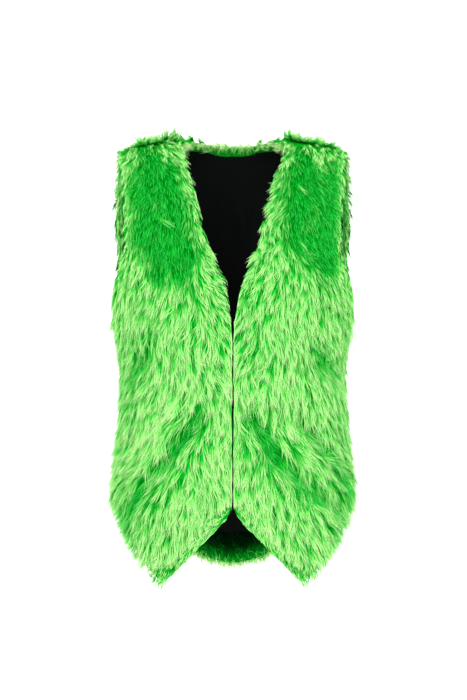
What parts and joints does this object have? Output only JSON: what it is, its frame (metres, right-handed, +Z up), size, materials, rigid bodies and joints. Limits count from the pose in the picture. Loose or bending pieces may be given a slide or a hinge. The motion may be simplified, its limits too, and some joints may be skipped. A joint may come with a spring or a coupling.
{
  "type": "faux fur vest",
  "caption": "Sleeveless V-neck vest of long faux fur over a smooth lining, filled out as worn, with open armholes, edge-to-edge fronts and a pointed hem.",
  "frame": {"origin": "midway between the shoulders, level with the neck points of the shoulder seams, where the wearer's shoulders hold the vest", "axes": "+Z up, the front faces -Y, +X is on the right as seen from the front"},
  "size_m": [0.356, 0.2587, 0.637],
  "materials": {
    "fur": "long glossy lime green pile, darker at the roots",
    "lining": "smooth black satin"
  },
  "bodies": {
    "root": {"front_left": "fur", "front_right": "fur", "back": "fur", "hem_facing_back": "fur", "lining_left": "lining", "lining_right": "lining", "lining_back": "lining"}
  },
  "joints": []
}
